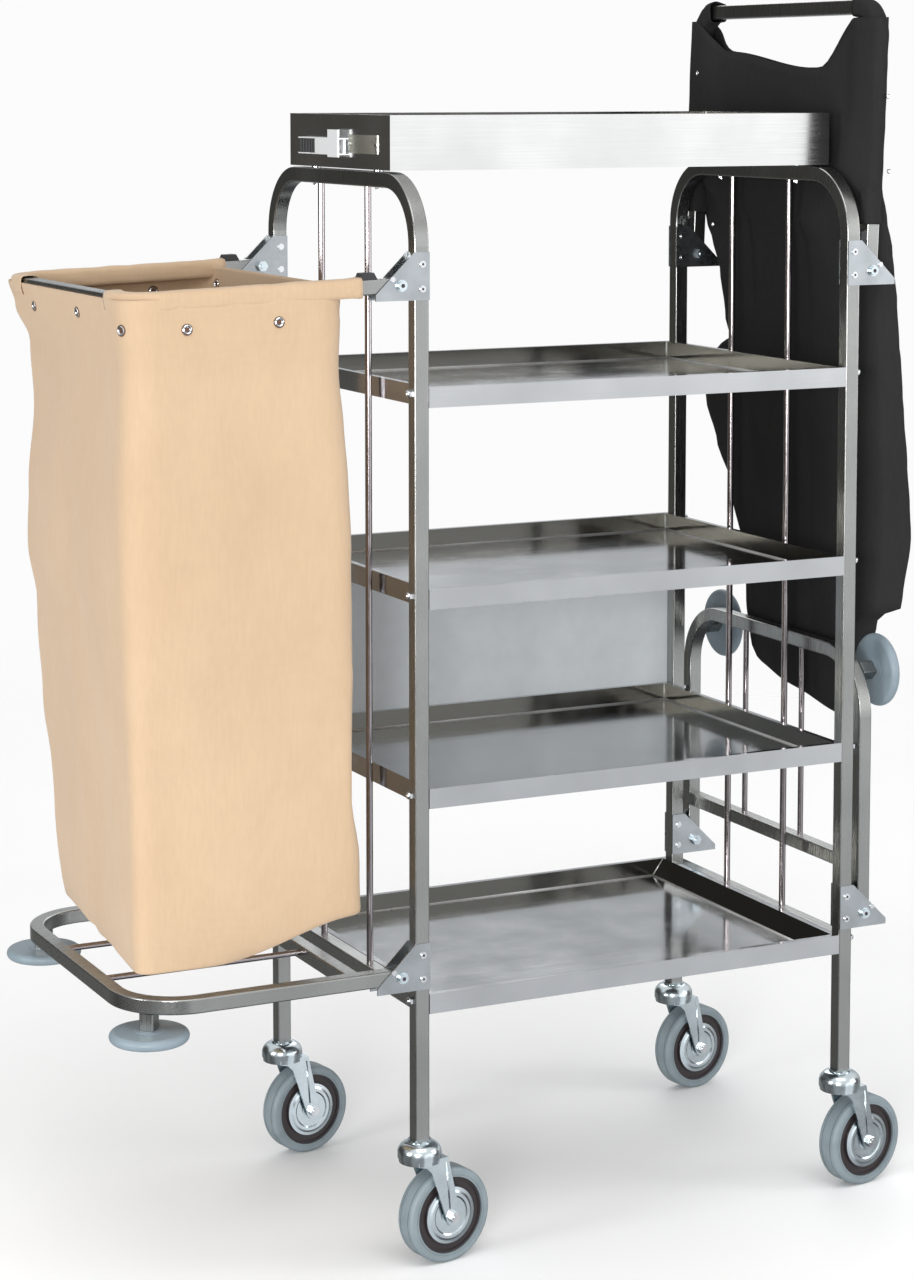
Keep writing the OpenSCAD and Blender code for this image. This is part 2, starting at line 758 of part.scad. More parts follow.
// The collapsed bag on the folded right frame. Its mouth faces the trolley
module bag_right() {
    lean = tan(droop);
    back_top = hung_x + lean*(hung_ear_z - upper_z);
    module side_view(inset) {
        polygon([
            [back_top + inset, hung_ear_z - inset], [back_top + 14 - inset, hung_ear_z - inset],
            [hung_x + 26 - inset, hung_neck_z + 60], [hung_x + 62 - inset, upper_z - 60],
            [hung_x + hung_out - inset, hung_low_z + 110], [hung_x + hung_out - 8 - inset, hung_low_z],
            [hung_x + hung_out - 20 - inset, hung_foot_z + inset], [hung_x + 20 + inset, hung_foot_z + inset],
            [hung_x + 14 + inset, hung_low_z], [hung_x + inset, upper_z]
        ]);
    }
    module front_view(inset) {
        side = arm_side - inset;
        mid = hung_side - inset;
        low = hung_low_side - inset;
        polygon([
            [-side, hung_ear_z - inset], [-side + 44, hung_ear_z - inset], [-side + 84, hung_top - inset],
            [side - 84, hung_top - inset], [side - 44, hung_ear_z - inset], [side, hung_ear_z - inset],
            [side, hung_neck_z + inset], [mid, hung_neck_z + inset], [mid, hung_low_z + inset],
            [low, hung_low_z + inset], [low, hung_foot_z + inset], [-low, hung_foot_z + inset],
            [-low, hung_low_z + inset], [-mid, hung_low_z + inset], [-mid, hung_neck_z + inset],
            [-side, hung_neck_z + inset]
        ]);
    }
    module shape(inset) {
        intersection() {
            rotate([90, 0, 0]) linear_extrude(frame_d, center = true) side_view(inset);
            rotate([90, 0, 90]) linear_extrude(2*pivot_x) front_view(inset);
        }
    }
    color([0.15, 0.15, 0.15]) difference() {
        shape(0);
        shape(bag_wall);
        translate([hung_x - 1, -hung_side + 2*bag_wall, mouth_low_z])
            cube([15, 2*(hung_side - 2*bag_wall), hung_top - mouth_low_z - 10]);
    }
}

module placed() {
    translate([shift_x, shift_y, 0]) children();
}

placed() side_frame(-1);  // side_frame_left
placed() side_frame(1);  // side_frame_right
placed() bottom_rails();
placed() side_rods();
placed() top_tray();
placed() tray_studs();
placed() shelf(0);  // shelf_1
placed() shelf(1);  // shelf_2
placed() shelf(2);  // shelf_3
placed() shelf(3);  // shelf_4
placed() back_panel();
placed() shelf_bolts();
placed() cap_nuts();
placed() bracket_plates(-1);  // bracket_plates_left
placed() bracket_plates(1);  // bracket_plates_right
placed() rivets();
placed() pivot_bolts();
placed() clip_channel();
placed() clip_grip();
placed() clip_band();
placed() clip_rivets();
placed() castor_heads();
placed() fork(-1, -1);  // fork_fl
placed() fork(1, -1);  // fork_fr
placed() fork(-1, 1);  // fork_bl
placed() fork(1, 1);  // fork_br
placed() axle(-1, -1);  // axle_fl
placed() axle(1, -1);  // axle_fr
placed() axle(-1, 1);  // axle_bl
placed() axle(1, 1);  // axle_br
placed() tyre(-1, -1);  // tyre_fl
placed() tyre(1, -1);  // tyre_fr
placed() tyre(-1, 1);  // tyre_bl
placed() tyre(1, 1);  // tyre_br
placed() wheel_core(-1, -1);  // wheel_core_fl
placed() wheel_core(1, -1);  // wheel_core_fr
placed() wheel_core(-1, 1);  // wheel_core_bl
placed() wheel_core(1, 1);  // wheel_core_br
placed() wheel_caps(-1, -1);  // wheel_caps_fl
placed() wheel_caps(1, -1);  // wheel_caps_fr
placed() wheel_caps(-1, 1);  // wheel_caps_bl
placed() wheel_caps(1, 1);  // wheel_caps_br
placed() bag_frame(-1);  // bag_frame_left
placed() bag_frame(1);  // bag_frame_right
placed() buffers(-1);  // buffers_left
placed() buffers(1);  // buffers_right
placed() bag_left();
placed() bag_right();
placed() platform(-1);  // platform_left
placed() platform(1);  // platform_right
placed() platform_rods(-1);  // platform_rods_left
placed() platform_rods(1);  // platform_rods_right
placed() bumper_legs(-1);  // bumper_legs_left
placed() bumper_legs(1);  // bumper_legs_right
placed() bumper_bolts(-1);  // bumper_bolts_left
placed() bumper_bolts(1);  // bumper_bolts_right
placed() bumper(-1, -1);  // bumper_lf
placed() bumper(-1, 1);  // bumper_lb
placed() bumper(1, -1);  // bumper_rf
placed() bumper(1, 1);  // bumper_rb
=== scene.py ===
"""Linen trolley: the looks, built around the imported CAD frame. at() turns millimetres to metres."""

import json
import math

import bpy
from mathutils import Matrix, Vector, noise


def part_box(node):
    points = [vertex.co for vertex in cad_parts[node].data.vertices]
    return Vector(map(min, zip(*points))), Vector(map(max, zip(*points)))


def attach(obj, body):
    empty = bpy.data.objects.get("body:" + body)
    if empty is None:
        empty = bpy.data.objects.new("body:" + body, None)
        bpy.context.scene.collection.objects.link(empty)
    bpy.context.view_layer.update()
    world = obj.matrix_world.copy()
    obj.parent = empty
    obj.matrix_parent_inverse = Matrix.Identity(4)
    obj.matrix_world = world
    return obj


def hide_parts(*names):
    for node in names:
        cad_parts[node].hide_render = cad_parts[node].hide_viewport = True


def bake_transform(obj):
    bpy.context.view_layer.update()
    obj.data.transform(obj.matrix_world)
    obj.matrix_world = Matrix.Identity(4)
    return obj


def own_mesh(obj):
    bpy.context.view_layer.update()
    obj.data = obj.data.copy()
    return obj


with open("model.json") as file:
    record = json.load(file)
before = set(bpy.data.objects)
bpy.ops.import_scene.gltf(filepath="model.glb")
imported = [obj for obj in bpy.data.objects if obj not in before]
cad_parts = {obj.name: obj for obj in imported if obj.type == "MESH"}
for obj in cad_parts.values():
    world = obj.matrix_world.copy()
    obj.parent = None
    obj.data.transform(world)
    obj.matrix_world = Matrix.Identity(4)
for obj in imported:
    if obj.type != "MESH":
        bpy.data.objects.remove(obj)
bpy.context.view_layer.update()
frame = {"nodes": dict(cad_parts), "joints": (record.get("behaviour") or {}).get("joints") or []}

# The main frame's middle on the floor. Every place below is counted from there, in millimetres
POSTS_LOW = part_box("side_frame_left")[0]
POSTS_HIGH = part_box("side_frame_right")[1]
MIDDLE = Vector(((POSTS_LOW.x + POSTS_HIGH.x) / 2, (POSTS_LOW.y + POSTS_HIGH.y) / 2, 0))
MM = 0.001

# Half the main frame's length and depth
END_X = (POSTS_HIGH.x - POSTS_LOW.x) / 2 / MM
END_Y = (POSTS_HIGH.y - POSTS_LOW.y) / 2 / MM

# The square tubes of the main frame and of the folding frames
TUBE = 20.0
ARM = 19.2
ARM_Y = END_Y - TUBE / 2

# The folding frames' pivots: the bag hoops above, the platforms below
JOINT = {joint["name"]: joint for joint in frame["joints"]}
UPPER_Z = JOINT["bag_fold_left"]["pos_m"][2] / MM
LOWER_Z = JOINT["foot_fold_left"]["pos_m"][2] / MM
PIVOT_X = END_X + 19.0

# How far a hoop reaches out, its corner radius and how far it hangs below level
REACH = 362.0
BEND = 50.0
DROOP = math.radians(2)

# The castors: the height of the axles and the legs' distance from the wheel's middle
AXLE_Z = 62.5
LEG_OUT = 21.9

# The cloth sleeves round the hoop's tube, from its middle line, and their sides along the tube
SLEEVE_HALF = ARM / 2 + 1.2
SLEEVE_COLUMNS = 28
SLEEVE_ROUND = 0.25

# The step between points along a sleeve
PATH_STEP = 6.0


def at(x, y, z):
    """A place in the main frame's millimetres as a point of the row frame."""
    return MIDDLE + Vector((x, y, z)) * MM


def node_box(name):
    """A CAD node's lowest and highest corners in the main frame's millimetres."""
    low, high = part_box(name)
    return (low - MIDDLE) / MM, (high - MIDDLE) / MM


# ---------------------------------------------------------------- mesh helpers


def add_object(name, mesh, material, body=None):
    """A smooth-shaded piece that rides on a body, with its material slot's name."""
    obj = bpy.data.objects.new(name, mesh)
    bpy.context.scene.collection.objects.link(obj)
    mesh.materials.append(material)
    mesh.polygons.foreach_set("use_smooth", [True] * len(mesh.polygons))
    if body:
        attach(obj, body)
    return obj


def mesh_of(name, points, faces):
    """A mesh of points in metres and faces."""
    mesh = bpy.data.meshes.new(name)
    mesh.from_pydata([tuple(p) for p in points], [], faces)
    mesh.update()
    return mesh


def grid_faces(rows, columns):
    """Quads between closed rows of points that each hold the same number of columns."""
    faces = []
    for r in range(rows - 1):
        low, high = r * columns, (r + 1) * columns
        for c in range(columns):
            d = (c + 1) % columns
            faces.append((low + c, low + d, high + d, high + c))
    return faces


def apply_modifiers(obj):
    """Turns a piece's modifiers into its mesh."""
    graph = bpy.context.evaluated_depsgraph_get()
    mesh = bpy.data.meshes.new_from_object(obj.evaluated_get(graph))
    obj.modifiers.clear()
    obj.data = mesh


def thicken(obj, thickness, inward=True):
    """Gives a sheet of cloth its thickness in millimetres, inward or to both sides."""
    solid = obj.modifiers.new("cloth", "SOLIDIFY")
    solid.thickness = thickness * MM
    solid.offset = -1 if inward else 0
    apply_modifiers(obj)
    obj.data.polygons.foreach_set("use_smooth", [True] * len(obj.data.polygons))


def lathe(profile, segments=32):
    """Points and faces of a profile [(radius, height)] turned about +Z."""
    points, faces = [], []
    for r, h in profile:
        for k in range(segments):
            a = math.tau * k / segments
            points.append(Vector((r * math.cos(a), r * math.sin(a), h)))
    faces += grid_faces(len(profile), segments)
    faces.append(tuple(range(segments - 1, -1, -1)))
    last = (len(profile) - 1) * segments
    faces.append(tuple(last + k for k in range(segments)))
    return points, faces


def turned_copies(name, profile, places, material, body, segments=24):
    """One mesh of the same lathed shape at places [(point in mm, outward direction)]."""
    points, faces = [], []
    shape, shape_faces = lathe(profile, segments)
    for place, out in places:
        turn = Vector((0, 0, 1)).rotation_difference(Vector(out)).to_matrix()
        start = len(points)
        points += [at(*place) + turn @ p * MM for p in shape]
        faces += [tuple(start + i for i in f) for f in shape_faces]
    obj = add_object(name, mesh_of(name, points, faces), material, body)
    split = obj.modifiers.new("edges", "EDGE_SPLIT")
    split.split_angle = math.radians(40)
    apply_modifiers(obj)
    return obj


def capped_shell(rings):
    """Points in metres and faces of rings in millimetres, with a cap over the last ring."""
    columns = len(rings[0])
    points = [at(*p) for ring in rings for p in ring]
    faces = grid_faces(len(rings), columns)
    start = (len(rings) - 1) * columns
    faces.append(tuple(start + k for k in range(columns)))
    return points, faces


def lerp(a, b, t):
    return a + (b - a) * t


def smooth_step(t):
    t = min(max(t, 0.0), 1.0)
    return t * t * (3 - 2 * t)


def through(stations, value):
    """A smooth value between stations [(key, number, ...)] sorted by rising key."""
    if value <= stations[0][0]:
        return stations[0][1:]
    for low, high in zip(stations, stations[1:]):
        if value <= high[0]:
            t = smooth_step((value - low[0]) / (high[0] - low[0]))
            return tuple(lerp(a, b, t) for a, b in zip(low[1:], high[1:]))
    return stations[-1][1:]


def rounded_ring(corners, radius, arc=8, edge=20):
    """A closed ring of points round a four-cornered outline [(x, y)] with rounded corners."""
    ring = []
    count = len(corners)
    for i in range(count):
        before, here, after = (Vector(corners[(i + k) % count]) for k in (-1, 0, 1))
        a, b = (before - here).normalized(), (after - here).normalized()
        start, end = here + a * radius, here + b * radius
        for k in range(arc):
            t = k / arc
            ring.append((1 - t) ** 2 * start + 2 * t * (1 - t) * here + t * t * end)
        next_start = after + (here - after).normalized() * radius
        ring += [end.lerp(next_start, k / edge) for k in range(edge)]
    return ring


# ---------------------------------------------------------------- material helpers


# The colour sockets of a Mix node
MIX_A, MIX_B, MIX_RESULT = 6, 7, 2


class Nodes:
    """A material's node tree with short calls to add and link nodes."""

    def __init__(self, name, **shader):
        self.material = bpy.data.materials.new(name)
        self.material.use_nodes = True
        self.tree = self.material.node_tree
        self.shader = self.tree.nodes["Principled BSDF"]
        for key, value in shader.items():
            self.shader.inputs[key.replace("_", " ")].default_value = value
        self.place = self.add("ShaderNodeTexCoord").outputs["Object"]

    def add(self, kind, **settings):
        """A new node; each setting is one of its properties or else one of its inputs."""
        made = self.tree.nodes.new(kind)
        for key, value in settings.items():
            if hasattr(made, key):
                setattr(made, key, value)
            else:
                self.set(made.inputs[key.replace("_", " ")], value)
        return made

    def set(self, socket, value):
        """Links an output to a socket, or sets the socket's own value."""
        if isinstance(value, bpy.types.NodeSocket):
            self.tree.links.new(value, socket)
        else:
            socket.default_value = value

    def noise(self, scale, stretch=(1, 1, 1), detail=3.0, rough=0.5):
        """Noise at scale per metre, drawn out along an axis by a small stretch."""
        mapping = self.add("ShaderNodeMapping", Vector=self.place)
        mapping.inputs["Scale"].default_value = stretch
        tex = self.add("ShaderNodeTexNoise", Scale=scale, Detail=detail, Roughness=rough)
        self.set(tex.inputs["Vector"], mapping.outputs[0])
        return tex.outputs["Fac"]

    def wave(self, scale, direction):
        """Even bands across one axis."""
        tex = self.add("ShaderNodeTexWave", bands_direction=direction, Scale=scale)
        self.set(tex.inputs["Vector"], self.place)
        return tex.outputs["Fac"]

    def facing_inward(self):
        """1 on upright faces that look towards the trolley's middle, 0 elsewhere."""
        away = self.add("ShaderNodeVectorMath", operation="SUBTRACT")
        self.set(away.inputs[0], self.place)
        away.inputs[1].default_value = (MIDDLE.x, MIDDLE.y, 0)
        flat = self.add("ShaderNodeVectorMath", operation="MULTIPLY")
        self.set(flat.inputs[0], away.outputs[0])
        flat.inputs[1].default_value = (1, 1, 0)
        dot = self.add("ShaderNodeVectorMath", operation="DOT_PRODUCT")
        self.set(dot.inputs[0], flat.outputs[0])
        self.set(dot.inputs[1], self.add("ShaderNodeNewGeometry").outputs["Normal"])
        return self.span(dot.outputs["Value"], 1.0, 0.0, -0.10, -0.04)

    def span(self, fac, low, high, from_low=0.3, from_high=0.7):
        """Turns a 0 to 1 factor into a number from low to high."""
        ranged = self.add("ShaderNodeMapRange", Value=fac)
        ranged.inputs["From Min"].default_value = from_low
        ranged.inputs["From Max"].default_value = from_high
        ranged.inputs["To Min"].default_value = low
        ranged.inputs["To Max"].default_value = high
        return ranged.outputs[0]

    def mix(self, fac, a, b):
        """Colour a where the factor is 0 and colour b where it is 1."""
        mixed = self.add("ShaderNodeMix", data_type="RGBA")
        self.set(mixed.inputs["Factor"], fac)
        self.set(mixed.inputs[MIX_A], a)
        self.set(mixed.inputs[MIX_B], b)
        return mixed.outputs[MIX_RESULT]

    def math(self, operation, a, b):
        """One sum of two numbers."""
        made = self.add("ShaderNodeMath", operation=operation)
        self.set(made.inputs[0], a)
        self.set(made.inputs[1], b)
        return made.outputs[0]

    def bump(self, height, strength, distance, below=None):
        """Relief from a height, on top of another relief where one is given."""
        made = self.add("ShaderNodeBump", Strength=strength, Distance=distance)
        self.set(made.inputs["Height"], height)
        if below:
            self.set(made.inputs["Normal"], below)
        return made.outputs[0]

    def finish(self, color, roughness=None, normal=None):
        """Links what was made to the shader and returns the material."""
        self.set(self.shader.inputs["Base Color"], color)
        if roughness is not None:
            self.set(self.shader.inputs["Roughness"], roughness)
        if normal is not None:
            self.set(self.shader.inputs["Normal"], normal)
        return self.material


def rgb(r, g, b):
    return (r, g, b, 1.0)


# The distance between two yarns of the cloth in millimetres
YARN_PITCH = 1.3


def brushed_steel(name, stretch, color, rough, line_depth=0.05, wall_shade=None):
    """Satin steel with fine brushed lines drawn out along one axis; the last argument, where given, is painted
    shade: a darker colour on the inner walls for their shade and dark reflections.
    """
    n = Nodes(name, Metallic=1.0)
    lines = n.noise(900, stretch, 2.0, 0.6)
    clouds = n.noise(9, (1, 1, 1), 3.0)
    dark = rgb(*(c * 0.84 for c in color))
    tone = n.mix(n.span(clouds, 0.0, 1.0), dark, rgb(*color))
    streaked = n.mix(n.span(lines, 0.0, 0.35), tone, dark)
    # Painted shade: the walls that face the trolley's middle take the darker colour in place of their shade
    # and dark reflections.
    if wall_shade:
        streaked = n.mix(n.facing_inward(), streaked, rgb(*wall_shade))
    roughness = n.math("ADD", n.span(lines, -0.05, 0.05), n.span(clouds, rough - 0.03, rough + 0.03))
    return n.finish(streaked, roughness, n.bump(lines, line_depth, 0.0002))


def bright_metal(name, color, rough, mottle=0.1, metallic=1.0):
    """Plated or drawn metal with a faint mottled sheen and light handling marks."""
    n = Nodes(name, Metallic=metallic)
    spots = n.noise(160, (1, 1, 1), 4.0, 0.6)
    clouds = n.noise(28, (1, 1, 1), 2.0)
    tone = n.mix(n.span(clouds, 0.0, 1.0), rgb(*(c * (1 - mottle) for c in color)), rgb(*color))
    roughness = n.math("ADD", n.span(spots, -0.04, 0.06), n.span(clouds, rough, rough + 0.05))
    return n.finish(tone, roughness, n.bump(spots, 0.04, 0.0003))


def moulded(name, color, rough, grain=0.12, wear=0.12):
    """Moulded plastic or rubber: fine grain, soft tone changes and dull patches."""
    n = Nodes(name)
    grain_noise = n.noise(1400, (1, 1, 1), 2.0)
    clouds = n.noise(34, (1, 1, 1), 3.0)
    lighter = rgb(*(min(1.0, c * (1 + wear) + 0.004) for c in color))
    tone = n.mix(n.span(clouds, 0.0, 1.0), rgb(*color), lighter)
    return n.finish(tone, n.span(clouds, rough - 0.06, rough + 0.08), n.bump(grain_noise, grain, 0.0002))


def woven(name, color, deep, rough=0.92, sheen=0.2):
    """Plain woven cloth: crossing yarns, slubs, and slow tone changes from handling."""
    n = Nodes(name)
    n.shader.inputs["Sheen Weight"].default_value = sheen
    n.shader.inputs["Sheen Roughness"].default_value = 0.5
    n.shader.inputs["Specular IOR Level"].default_value = 0.1
    scale = 1000 / YARN_PITCH / math.tau * 2
    warp = n.math("MAXIMUM", n.wave(scale, "X"), n.wave(scale, "Y"))
    yarns = n.math("MULTIPLY", warp, n.wave(scale, "Z"))
    slubs = n.noise(260, (1, 1, 0.15), 3.0)
    handled = n.noise(7, (1, 1, 0.6), 4.0, 0.6)
    tone = n.mix(n.span(handled, 0.0, 1.0), rgb(*color), rgb(*deep))
    tone = n.mix(n.span(slubs, 0.0, 0.16), tone, rgb(*(c * 0.7 for c in color)))
    tone = n.mix(n.span(yarns, 0.10, 0.0, 0.0, 1.0), tone, rgb(*(c * 0.55 for c in color)))
    creases = n.bump(n.noise(16, (1, 1, 0.35), 3.0, 0.55), 0.16, 0.004)
    return n.finish(tone, n.span(slubs, rough - 0.05, rough + 0.05), n.bump(yarns, 0.25, 0.0005, creases))


# ---------------------------------------------------------------- camera and studio


# The camera's place in millimetres, its turn to the right and down, and its focal length in image pixels
CAMERA_AT = (-1950.3, -3669.0, 1517.8)
CAMERA_YAW = 0.45504
CAMERA_PITCH = 0.09837
FOCAL_PIXELS = 3052.4
FRAME_PIXELS = 1280
CAMERA_SHIFT = -0.20
SENSOR = 36.0

# The room that the metal mirrors, in order: a direction, where the zone starts and is full, and its tone
ZONES = [
    ((0.40, 0.90, 0.12), 0.80, 0.97, (0.62, 0.64, 0.66)),
    ((0.42, -0.90, -0.05), 0.84, 0.96, (1.75, 1.76, 1.78)),
    ((0.38, -0.86, -0.42), 0.90, 0.985, (0.95, 0.97, 1.00)),
    ((-0.62, 0.78, 0.05), 0.74, 0.93, (0.085, 0.082, 0.075)),
    ((-0.38, 0.84, -0.42), 0.92, 0.985, (0.24, 0.24, 0.23)),
    ((-1, -0.05, 0.0), 0.80, 0.97, (0.12, 0.115, 0.11)),
    ((0.97, -0.22, 0.05), 0.90, 0.985, (0.14, 0.12, 0.12)),
    ((0, 0, -1), 0.60, 0.85, (0.10, 0.10, 0.11)),
]


def make_camera():
    """The camera, and the plain view transform that keeps the backdrop white."""
    bpy.context.scene.view_settings.view_transform = "Standard"
    data = bpy.data.cameras.new("camera")
    data.sensor_width = SENSOR
    data.lens = FOCAL_PIXELS / FRAME_PIXELS * SENSOR
    data.shift_y = CAMERA_SHIFT
    data.clip_end = 200
    camera = bpy.data.objects.new("camera", data)
    bpy.context.scene.collection.objects.link(camera)
    camera.location = at(*CAMERA_AT)
    camera.rotation_euler = (math.pi / 2 - CAMERA_PITCH, 0, -CAMERA_YAW)
    bpy.context.scene.camera = camera


def make_floor():
    """A round floor whose pale tone fades into the backdrop."""
    radius, rings, segments = 5.0, 12, 96
    points = [Vector((0, 0, 0))]
    faces = []
    for r in range(1, rings + 1):
        for k in range(segments):
            a = math.tau * k / segments
            points.append(Vector((math.cos(a), math.sin(a), 0)) * radius * (r / rings) ** 2)
    for k in range(segments):
        faces.append((0, 1 + k, 1 + (k + 1) % segments))
        for r in range(rings - 1):
            low, high = 1 + r * segments, 1 + (r + 1) * segments
            d = (k + 1) % segments
            faces.append((low + k, high + k, high + d, low + d))
    n = Nodes("studio_floor", Roughness=0.7)
    n.shader.inputs["Specular IOR Level"].default_value = 0.15
    tone = n.mix(n.span(n.noise(1.2), 0.0, 1.0), rgb(0.90, 0.90, 0.90), rgb(0.93, 0.93, 0.93))
    material = n.finish(tone)
    far = n.add("ShaderNodeVectorMath", operation="LENGTH")
    n.set(far.inputs[0], n.place)
    fade = n.span(far.outputs["Value"], 0.0, 1.0, 1.3, 4.6)
    fade.node.interpolation_type = "SMOOTHSTEP"
    clear = n.add("ShaderNodeBsdfTransparent")
    blend = n.add("ShaderNodeMixShader")
    n.set(blend.inputs[0], fade)
    n.set(blend.inputs[1], n.shader.outputs[0])
    n.set(blend.inputs[2], clear.outputs[0])
    n.set(n.tree.nodes["Material Output"].inputs["Surface"], blend.outputs[0])
    floor = add_object("floor", mesh_of("floor", points, faces), material)
    floor.visible_glossy = False


def make_world():
    """A pale room with a dark side to the back left, which the tubes mirror as their dark faces."""
    world = bpy.data.worlds.new("studio")
    bpy.context.scene.world = world
    world.use_nodes = True
    tree = world.node_tree
    tree.nodes.clear()
    where = tree.nodes.new("ShaderNodeTexCoord").outputs["Generated"]

    def side(direction, low, high):
        """1 towards a direction and 0 away from it."""
        dot = tree.nodes.new("ShaderNodeVectorMath")
        dot.operation = "DOT_PRODUCT"
        dot.inputs[1].default_value = Vector(direction).normalized()
        tree.links.new(where, dot.inputs[0])
        ramp = tree.nodes.new("ShaderNodeMapRange")
        ramp.interpolation_type = "SMOOTHSTEP"
        ramp.inputs["From Min"].default_value = low
        ramp.inputs["From Max"].default_value = high
        tree.links.new(dot.outputs["Value"], ramp.inputs["Value"])
        return ramp.outputs[0]

    def mixed(fac, a, b):
        """Tone a where the factor is 0 and tone b where it is 1."""
        mix = tree.nodes.new("ShaderNodeMix")
        mix.data_type = "RGBA"
        tree.links.new(fac, mix.inputs["Factor"])
        for socket, value in ((mix.inputs[MIX_A], a), (mix.inputs[MIX_B], b)):
            if isinstance(value, bpy.types.NodeSocket):
                tree.links.new(value, socket)
            else:
                socket.default_value = value
        return mix.outputs[MIX_RESULT]

    room = mixed(side((0, 0, 1), -0.5, 0.6), rgb(0.30, 0.31, 0.32), rgb(1.05, 1.05, 1.05))
    for direction, low, high, tone in ZONES:
        room = mixed(side(direction, low, high), room, rgb(*tone))
    lit = tree.nodes.new("ShaderNodeBackground")
    tree.links.new(room, lit.inputs["Color"])
    lit.inputs["Strength"].default_value = 0.8
    seen = tree.nodes.new("ShaderNodeBackground")
    seen.inputs["Color"].default_value = rgb(0.97, 0.97, 0.97)
    path = tree.nodes.new("ShaderNodeLightPath")
    either = tree.nodes.new("ShaderNodeMixShader")
    tree.links.new(path.outputs["Is Camera Ray"], either.inputs["Fac"])
    tree.links.new(lit.outputs[0], either.inputs[1])
    tree.links.new(seen.outputs[0], either.inputs[2])
    out = tree.nodes.new("ShaderNodeOutputWorld")
    tree.links.new(either.outputs[0], out.inputs["Surface"])


def area_light(name, place, target, size, watts):
    """A soft rectangular light that the camera doesn't see."""
    data = bpy.data.lights.new(name, "AREA")
    data.shape = "RECTANGLE"
    data.size, data.size_y = size
    data.energy = watts
    light = bpy.data.objects.new(name, data)
    bpy.context.scene.collection.objects.link(light)
    light.location = at(*place)
    aim = at(*target) - light.location
    light.rotation_euler = aim.to_track_quat("-Z", "Y").to_euler()
    light.visible_camera = False


def make_lights():
    """Soft lights from the front, the left, above, the right and behind."""
    area_light("key", (-3100, -4300, 1250), (-100, 0, 850), (1.3, 1.5), 135)
    area_light("left", (-4700, -900, 1200), (-560, 0, 800), (1.2, 1.6), 75)
    area_light("sky", (-600, -2200, 4200), (0, 0, 700), (3.0, 2.4), 45)
    area_light("side", (3600, -2400, 1700), (0, 0, 700), (1.4, 2.2), 40)
    area_light("back", (1900, 3600, 2800), (0, 0, 900), (2.4, 1.8), 30)


# ---------------------------------------------------------------- CAD finishes


def dress_cad():
    """Gives every carried-over CAD node its own procedural finish."""
    steel = (0.385, 0.39, 0.38)
    # The second colour of the sheet and of the tray is painted shade for their inner walls.
    sheet, sheet_wall_shade = (0.62, 0.63, 0.64), (0.13, 0.127, 0.115)
    tray, tray_wall_shade = (0.76, 0.76, 0.75), (0.22, 0.216, 0.205)
    finish = {
        "tube_z": brushed_steel("tube_upright", (1, 1, 0.012), steel, 0.27),
        "tube_y": brushed_steel("tube_cross", (1, 0.012, 1), steel, 0.27),
        "tube_x": brushed_steel("tube_long", (0.012, 1, 1), steel, 0.28),
        "sheet": brushed_steel("sheet_steel", (0.010, 1, 1), sheet, 0.12, 0.01, sheet_wall_shade),
        "tray": brushed_steel("tray_steel", (0.010, 1, 1), tray, 0.18, 0.02, tray_wall_shade),
        "rod": bright_metal("drawn_rod", (0.44, 0.40, 0.41), 0.13),
        "zinc": bright_metal("zinc_plate", (0.74, 0.83, 0.87), 0.17, 0.16),
        "plate": bright_metal("plate_steel", (0.47, 0.50, 0.52), 0.27, 0.2),
        "stud": bright_metal("stud_steel", (0.80, 0.82, 0.84), 0.14),
        "panel": moulded("panel_coating", (0.72, 0.76, 0.79), 0.5, 0.08, 0.06),
        "tyre": moulded("tyre_rubber", (0.175, 0.215, 0.235), 0.46, 0.2, 0.22),
        "bumper": moulded("bumper_plastic", (0.195, 0.245, 0.28), 0.42, 0.14, 0.14),
        "brown": moulded("stud_back", (0.075, 0.035, 0.02), 0.45, 0.1, 0.3),
        "core": moulded("wheel_nylon", (0.022, 0.016, 0.018), 0.38, 0.2, 0.3),
        "rubber": moulded("stop_rubber", (0.018, 0.018, 0.020), 0.55, 0.2, 0.4),
        "chrome": bright_metal("clip_chrome", (0.93, 0.95, 0.97), 0.32, 0.04, 0.2),
        # Painted highlight: the bends get a paler, more matt metal than the sheet steel they are bent from.
        "bend": bright_metal("bent_edge_highlight", (0.80, 0.80, 0.78), 0.30, 0.10, 0.45),
        "black": bright_metal("black_bolt", (0.05, 0.05, 0.055), 0.35),
        "band": brushed_steel("spring_band", (1, 0.012, 1), (0.80, 0.80, 0.70), 0.42),
    }
    wanted = {
        "side_frame": "tube_z", "bottom_rails": "tube_y", "side_rods": "rod", "top_tray": "tray",
        "shelf_bolts": "stud", "shelf": "sheet", "back_panel": "panel", "cap_nuts": "stud",
        "bracket_plates": "plate", "rivets": "stud", "pivot_bolts": "zinc", "tray_studs": "stud",
        "clip_channel": "chrome", "clip_grip": "rubber", "clip_band": "band", "clip_rivets": "stud",
        "castor_heads": "zinc", "fork": "zinc", "axle": "stud", "tyre": "tyre", "wheel_core": "core",
        "wheel_caps": "zinc", "bag_frame_right": "tube_z", "bag_frame": "tube_x", "buffers": "rubber",
        "platform_rods": "rod", "platform_right": "tube_z", "platform": "tube_x", "bumper_legs": "tube_z",
        "bumper_bolts": "black", "bumper": "bumper", "bag_left": "panel", "bag_right": "panel",
    }
    for name, obj in frame["nodes"].items():
        kinds = [key for key in wanted if name.startswith(key)]
        obj.data.materials.clear()
        obj.data.materials.append(finish[wanted[max(kinds, key=len)]])
    return finish


# ---------------------------------------------------------------- open beige bag


def soft(x, y, z, size):
    """Smooth noise from -1 to 1 with features of about size millimetres."""
    return noise.noise(Vector((x, y, z)) / size)


